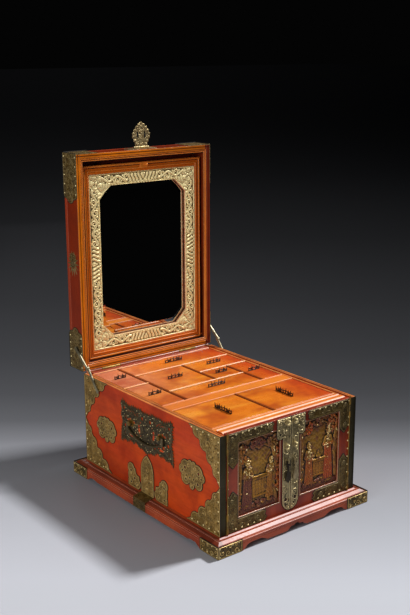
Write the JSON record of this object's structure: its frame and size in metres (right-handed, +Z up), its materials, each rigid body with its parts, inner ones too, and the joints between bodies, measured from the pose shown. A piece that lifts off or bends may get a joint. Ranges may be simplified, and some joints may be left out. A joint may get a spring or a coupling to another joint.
{
  "type": "portable dressing table",
  "caption": "Portable dressing table in red lacquered wood with brass mounts, two front doors, a fitted tray and a lid with a tilting mirror.",
  "frame": {"origin": "on the ground, at the middle of the footprint that the part takes up with its lid open", "axes": "+X to the right seen from the doors, +Y to the back, +Z up"},
  "size_m": [0.3396, 0.4689, 0.6505],
  "materials": {
    "lacquer_red": "dark red-brown lacquered hardwood, satin to glossy",
    "lacquer_vermilion": "vermilion-orange lacquered hardwood, satin",
    "lacquer_honey": "honey-orange varnished hardwood, glossy",
    "aged_brass": "aged brass, engraved and riveted, olive patina",
    "bright_brass": "worn brass, rubbed bright by handling",
    "dark_bronze": "dark patinated bronze, matte",
    "carved_gilt": "carved wood, worn gilding over red and purple paint",
    "pale_gilt": "carved wood, pale matt gilding",
    "mirror_glass": "silvered glass with a bevelled edge"
  },
  "bodies": {
    "case": {"plinth_board": "lacquer_red", "plinth_aprons": "lacquer_red", "plinth_corners": "aged_brass", "plinth_straps": "aged_brass", "side_panel_left": "lacquer_vermilion", "side_panel_right": "lacquer_vermilion", "back_panel": "lacquer_vermilion", "bottom_board": "lacquer_red", "cupboard_shelf": "lacquer_red", "tray_floor": "lacquer_honey", "front_rail": "lacquer_honey", "cross_rail": "lacquer_honey", "tray_dividers": "lacquer_honey", "tray_linings": "lacquer_honey", "case_mounts_left": "aged_brass", "case_mounts_right": "aged_brass", "bat_plaques": "dark_bronze", "bail_posts": "aged_brass", "side_medallions": "aged_brass", "case_rivets": "aged_brass", "door_pins": "aged_brass", "lid_hinges_case": "aged_brass", "stay_studs_case": "aged_brass"},
    "bail_left_body": {"bail_left": "bright_brass"},
    "bail_right_body": {"bail_right": "bright_brass"},
    "door_left": {"door_frame_left": "lacquer_red", "door_panel_left": "carved_gilt", "door_brass_left": "aged_brass", "lock_plate_left": "aged_brass"},
    "door_right": {"door_frame_right": "lacquer_red", "door_panel_right": "carved_gilt", "door_brass_right": "aged_brass", "lock_plate_right": "aged_brass"},
    "pull_left": {"drop_pull_left": "dark_bronze"},
    "pull_right": {"drop_pull_right": "dark_bronze"},
    "lid": {"lid_walls": "lacquer_vermilion", "lid_top": "lacquer_vermilion", "lid_lining": "lacquer_honey", "lid_mounts": "aged_brass", "stay_studs_lid": "aged_brass", "hasp_base": "aged_brass", "lid_hinges_lid": "aged_brass"},
    "hasp_body": {"hasp": "bright_brass"},
    "mirror": {"mirror_frame": "lacquer_honey", "mirror_border": "pale_gilt", "mirror_glass": "mirror_glass", "mirror_back": "lacquer_red", "mirror_fittings": "aged_brass"},
    "stay_case": {"stay_case_arms": "aged_brass"},
    "stay_lid": {"stay_lid_arms": "aged_brass"},
    "tray_a": {"tray_lid_a": "lacquer_honey"},
    "tray_b": {"tray_lid_b": "lacquer_honey"},
    "tray_c": {"tray_lid_c": "lacquer_honey"},
    "tray_d": {"tray_lid_d": "lacquer_honey"},
    "tray_e": {"tray_lid_e": "lacquer_honey"},
    "tray_f": {"tray_lid_f": "lacquer_honey"},
    "tray_g": {"tray_lid_g": "lacquer_honey"},
    "tray_h": {"tray_lid_h": "lacquer_honey"},
    "tray_i": {"tray_lid_i": "lacquer_honey"},
    "tray_j": {"tray_lid_j": "lacquer_honey"}
  },
  "joints": [
    {"name": "lid_hinge", "type": "hinge", "parent": "case", "child": "lid", "pos_m": [0, 0.1903, 0.197], "axis": [-1, 0, 0], "range_deg": [-90, 0]},
    {"name": "mirror_tilt", "type": "hinge", "parent": "lid", "child": "mirror", "pos_m": [0, 0.2026, 0.2196], "axis": [1, 0, 0], "range_deg": [0, 20]},
    {"name": "door_left_hinge", "type": "hinge", "parent": "case", "child": "door_left", "pos_m": [-0.136, -0.21495, 0.1115], "axis": [0, 0, -1], "range_deg": [0, 105]},
    {"name": "door_right_hinge", "type": "hinge", "parent": "case", "child": "door_right", "pos_m": [0.136, -0.21495, 0.1115], "axis": [0, 0, 1], "range_deg": [0, 105]},
    {"name": "pull_left_swing", "type": "hinge", "parent": "door_left", "child": "pull_left", "pos_m": [-0.009, -0.21755, 0.12], "axis": [-1, 0, 0], "range_deg": [0, 85]},
    {"name": "pull_right_swing", "type": "hinge", "parent": "door_right", "child": "pull_right", "pos_m": [0.009, -0.21755, 0.12], "axis": [-1, 0, 0], "range_deg": [0, 85]},
    {"name": "bail_left_swing", "type": "hinge", "parent": "case", "child": "bail_left_body", "pos_m": [-0.1552, -0.013, 0.147], "axis": [0, 1, 0], "range_deg": [0, 90]},
    {"name": "bail_right_swing", "type": "hinge", "parent": "case", "child": "bail_right_body", "pos_m": [0.1552, -0.013, 0.147], "axis": [0, -1, 0], "range_deg": [0, 90]},
    {"name": "hasp_hinge", "type": "hinge", "parent": "lid", "child": "hasp_body", "pos_m": [0, 0.2056, 0.6035], "axis": [1, 0, 0], "range_deg": [0, 90]},
    {"name": "stay_case_pivot", "type": "hinge", "parent": "case", "child": "stay_case", "pos_m": [0, 0.14, 0.175], "axis": [-1, 0, 0], "range_deg": [-96.7, 0.5]},
    {"name": "stay_lid_pivot", "type": "hinge", "parent": "lid", "child": "stay_lid", "pos_m": [0, 0.2076, 0.2413], "axis": [-1, 0, 0], "range_deg": [-0.5, 113]},
    {"name": "tray_a_lift", "type": "slide", "parent": "case", "child": "tray_a", "axis": [0, 0, 1], "range_m": [0, 0.03]},
    {"name": "tray_b_lift", "type": "slide", "parent": "case", "child": "tray_b", "axis": [0, 0, 1], "range_m": [0, 0.03]},
    {"name": "tray_c_lift", "type": "slide", "parent": "case", "child": "tray_c", "axis": [0, 0, 1], "range_m": [0, 0.03]},
    {"name": "tray_d_lift", "type": "slide", "parent": "case", "child": "tray_d", "axis": [0, 0, 1], "range_m": [0, 0.03]},
    {"name": "tray_e_lift", "type": "slide", "parent": "case", "child": "tray_e", "axis": [0, 0, 1], "range_m": [0, 0.03]},
    {"name": "tray_f_lift", "type": "slide", "parent": "case", "child": "tray_f", "axis": [0, 0, 1], "range_m": [0, 0.03]},
    {"name": "tray_g_lift", "type": "slide", "parent": "case", "child": "tray_g", "axis": [0, 0, 1], "range_m": [0, 0.03]},
    {"name": "tray_h_lift", "type": "slide", "parent": "case", "child": "tray_h", "axis": [0, 0, 1], "range_m": [0, 0.03]},
    {"name": "tray_i_lift", "type": "slide", "parent": "case", "child": "tray_i", "axis": [0, 0, 1], "range_m": [0, 0.03]},
    {"name": "tray_j_lift", "type": "slide", "parent": "case", "child": "tray_j", "axis": [0, 0, 1], "range_m": [0, 0.03]}
  ],
  "couplings": [
    {"joint": "stay_case_pivot", "follows": "lid_hinge", "ratio": 1.0693},
    {"joint": "stay_lid_pivot", "follows": "lid_hinge", "ratio": -1.2498}
  ]
}
